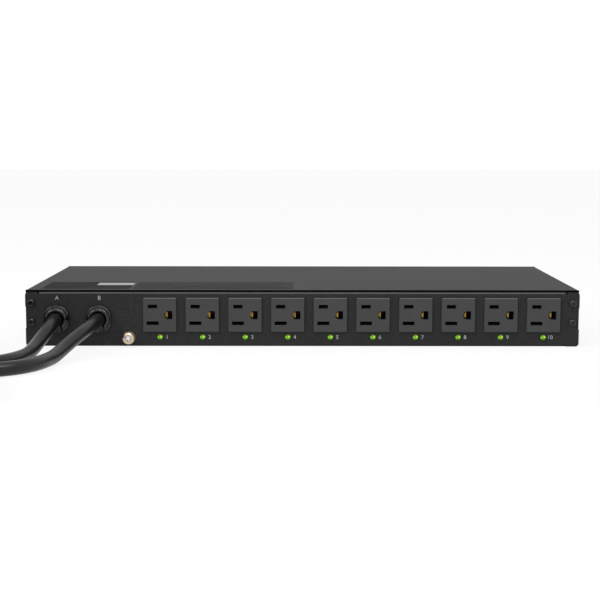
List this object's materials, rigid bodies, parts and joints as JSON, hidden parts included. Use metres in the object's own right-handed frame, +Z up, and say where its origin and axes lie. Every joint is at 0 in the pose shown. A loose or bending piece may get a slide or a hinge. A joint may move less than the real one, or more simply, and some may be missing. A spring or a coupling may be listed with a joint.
{
  "type": "rack static transfer switch",
  "caption": "One-unit rack transfer switch: black steel chassis, two corded inputs, a row of grounded outlets with green indicators, a ground screw and a control panel.",
  "frame": {"origin": "centre of the chassis' underside", "axes": "+X right as seen from the outlet side, +Y from the outlet panel towards the control panel, +Z up"},
  "size_m": [0.59, 0.4768, 0.0437],
  "materials": {
    "black_steel": "fine textured black powder coat",
    "black_screw": "black oxide",
    "label_film": "satin printed film, left blank",
    "outlet_plastic": "moulded, fine grain",
    "contact_brass": "stamped strip",
    "green_lens": "lit green lens",
    "circuit_board": "solder mask",
    "bushing_nylon": "moulded nylon",
    "yellow_zinc": "yellow zinc plate",
    "bright_zinc": "zinc plate",
    "cord_jacket": "satin vinyl jacket",
    "plug_vinyl": "moulded vinyl",
    "nickel_blade": "nickel plated brass",
    "smoked_window": "smoked window",
    "button_cap": "moulded cap",
    "reset_cap": "moulded cap",
    "component_case": "moulded case",
    "heatsink_aluminium": "extruded",
    "transformer_tape": "tape wrap and laminations",
    "capacitor_sleeve": "shrink sleeve",
    "sensor_case": "moulded case",
    "terminal_plastic": "moulded block"
  },
  "bodies": {
    "chassis": {"chassis_tray": "black_steel", "top_cover": "black_steel", "rear_panel": "black_steel", "front_panel": "black_steel", "panel_screws": "black_screw", "cover_screws": "black_screw", "cover_labels": "label_film", "outlet_01": "outlet_plastic", "outlet_02": "outlet_plastic", "outlet_03": "outlet_plastic", "outlet_04": "outlet_plastic", "outlet_05": "outlet_plastic", "outlet_06": "outlet_plastic", "outlet_07": "outlet_plastic", "outlet_08": "outlet_plastic", "outlet_09": "outlet_plastic", "outlet_10": "outlet_plastic", "hot_contacts": "contact_brass", "neutral_contacts": "contact_brass", "ground_contacts": "contact_brass", "hot_busbar": "contact_brass", "neutral_busbar": "contact_brass", "ground_busbar": "contact_brass", "indicator_lenses": "green_lens", "indicator_board": "circuit_board", "strain_relief_a": "bushing_nylon", "strain_relief_b": "bushing_nylon", "ground_screw": "yellow_zinc", "ground_lock_washer": "bright_zinc", "ground_flat_washers": "yellow_zinc", "cord_a": "cord_jacket", "cord_b": "cord_jacket", "coil_a": "cord_jacket", "coil_b": "cord_jacket", "plug_a": "plug_vinyl", "plug_b": "plug_vinyl", "plug_pins_a": "nickel_blade", "plug_pins_b": "nickel_blade", "display_window": "smoked_window", "display_board": "circuit_board", "breaker_a": "component_case", "breaker_b": "component_case", "network_jack": "bright_zinc", "status_lenses": "green_lens", "control_board": "circuit_board", "power_board": "circuit_board", "thyristor_modules": "component_case", "heatsink": "heatsink_aluminium", "transfer_relays": "component_case", "aux_transformer": "transformer_tape", "filter_capacitors": "capacitor_sleeve", "current_sensors": "sensor_case", "terminal_blocks": "terminal_plastic", "board_standoffs": "bright_zinc"},
    "select_button": {"select_button": "button_cap"},
    "scroll_button": {"scroll_button": "button_cap"},
    "enter_button": {"enter_button": "button_cap"},
    "reset_button_a": {"reset_button_a": "reset_cap"},
    "reset_button_b": {"reset_button_b": "reset_cap"}
  },
  "joints": [
    {"name": "select_press", "type": "slide", "parent": "chassis", "child": "select_button", "axis": [0, -1, 0], "range_m": [0, 0.0006], "stiffness_N_per_m": 1500, "springref_m": -0.0003},
    {"name": "scroll_press", "type": "slide", "parent": "chassis", "child": "scroll_button", "axis": [0, -1, 0], "range_m": [0, 0.0006], "stiffness_N_per_m": 1500, "springref_m": -0.0003},
    {"name": "enter_press", "type": "slide", "parent": "chassis", "child": "enter_button", "axis": [0, -1, 0], "range_m": [0, 0.0006], "stiffness_N_per_m": 1500, "springref_m": -0.0003},
    {"name": "reset_a_pop", "type": "slide", "parent": "chassis", "child": "reset_button_a", "axis": [0, 1, 0], "range_m": [0, 0.003]},
    {"name": "reset_b_pop", "type": "slide", "parent": "chassis", "child": "reset_button_b", "axis": [0, 1, 0], "range_m": [0, 0.003]}
  ]
}
